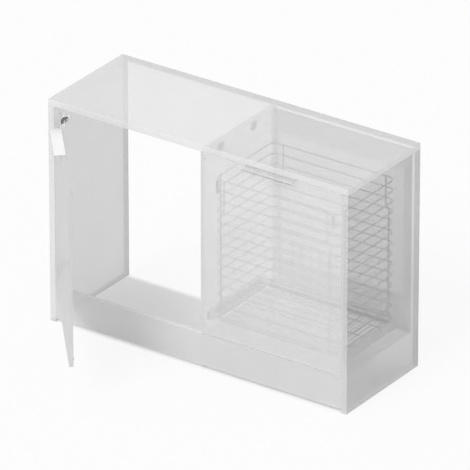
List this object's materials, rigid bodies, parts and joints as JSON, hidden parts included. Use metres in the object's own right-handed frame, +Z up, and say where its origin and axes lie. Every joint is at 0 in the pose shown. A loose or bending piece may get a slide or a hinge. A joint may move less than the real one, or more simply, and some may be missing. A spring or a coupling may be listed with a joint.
{
  "type": "washing machine cabinet",
  "caption": "Laundry cabinet: open bay for a washing machine behind a hinged door, and a pull-out wire laundry basket behind a matching front.",
  "frame": {"origin": "on the floor, at the middle of the divider panel's foot, halfway from the cabinet's front to its back", "axes": "+X to the right and +Y to the back as seen from the front, +Z up; the door stands 50 degrees open and the basket is pushed in"},
  "size_m": [1.31, 0.9586, 0.9],
  "materials": {
    "white_board": null,
    "grey_sheet": "thin grey back sheet, matte",
    "dark_plastic": "moulded, matte",
    "hinge_steel": "bright nickel plate",
    "pull_metal": "satin, bright",
    "dark_steel": "dark satin coat",
    "basket_wire": "grey coated wire, satin",
    "soft_pad": "soft, matte"
  },
  "bodies": {
    "cabinet": {"top_panel": "white_board", "side_panel_left": "white_board", "side_panel_right": "white_board", "divider_panel": "white_board", "plinth_board": "white_board", "bay_floor": "white_board", "back_rail_top": "white_board", "back_rail_bottom": "white_board", "back_stile_left": "white_board", "back_stile_right": "white_board", "back_sheet": "grey_sheet", "front_rail": "white_board", "connector_block_front": "dark_plastic", "connector_block_rear": "dark_plastic", "hinge_plate_upper": "hinge_steel", "hinge_plate_lower": "hinge_steel", "hinge_arm_upper": "hinge_steel", "hinge_arm_lower": "hinge_steel", "hinge_pin_upper": "hinge_steel", "hinge_pin_lower": "hinge_steel", "hinge_screw_upper_top": "hinge_steel", "hinge_screw_upper_bottom": "hinge_steel", "hinge_screw_lower_top": "hinge_steel", "hinge_screw_lower_bottom": "hinge_steel", "runner_outer_left": "dark_steel", "runner_outer_right": "dark_steel"},
    "hinge_links": {"hinge_link_upper": "dark_steel", "hinge_link_lower": "dark_steel"},
    "door": {"door_panel": "white_board", "door_handle": "pull_metal", "door_handle_screw_left": "hinge_steel", "door_handle_screw_right": "hinge_steel", "hinge_cup_upper": "dark_steel", "hinge_cup_lower": "dark_steel", "door_stop_pad_upper": "soft_pad", "door_stop_pad_lower": "soft_pad"},
    "runner_middles": {"runner_middle_left": "dark_steel", "runner_middle_right": "dark_steel"},
    "pullout": {"drawer_front": "white_board", "drawer_handle": "pull_metal", "drawer_handle_screw_left": "hinge_steel", "drawer_handle_screw_right": "hinge_steel", "drawer_stop_pad_upper": "soft_pad", "drawer_stop_pad_lower": "soft_pad", "basket_clip_left": "dark_plastic", "basket_clip_right": "dark_plastic", "basket_back": "basket_wire", "basket_front": "basket_wire", "basket_side_left": "basket_wire", "basket_side_right": "basket_wire", "basket_floor": "basket_wire", "base_rail_left": "hinge_steel", "base_rail_right": "hinge_steel", "base_tie": "dark_steel", "foot_bracket_left": "dark_steel", "foot_bracket_right": "dark_steel", "runner_inner_left": "dark_steel", "runner_inner_right": "dark_steel"}
  },
  "joints": [
    {"name": "door_swing", "type": "hinge", "parent": "cabinet", "child": "door", "pos_m": [-0.6465, -0.2325, 0.5095], "axis": [0, 0, -1], "range_deg": [-50, 60]},
    {"name": "hinge_link_turn", "type": "hinge", "parent": "cabinet", "child": "hinge_links", "pos_m": [-0.6394, -0.2087, 0.5095], "axis": [0, 0, -1], "range_deg": [-14, 17]},
    {"name": "basket_pull_out", "type": "slide", "parent": "cabinet", "child": "pullout", "axis": [0, -1, 0], "range_m": [0, 0.35]},
    {"name": "runner_middle_slide", "type": "slide", "parent": "cabinet", "child": "runner_middles", "axis": [0, -1, 0], "range_m": [0, 0.176]}
  ],
  "couplings": [
    {"joint": "hinge_link_turn", "follows": "door_swing", "ratio": 0.273},
    {"joint": "runner_middle_slide", "follows": "basket_pull_out", "ratio": 0.5}
  ]
}
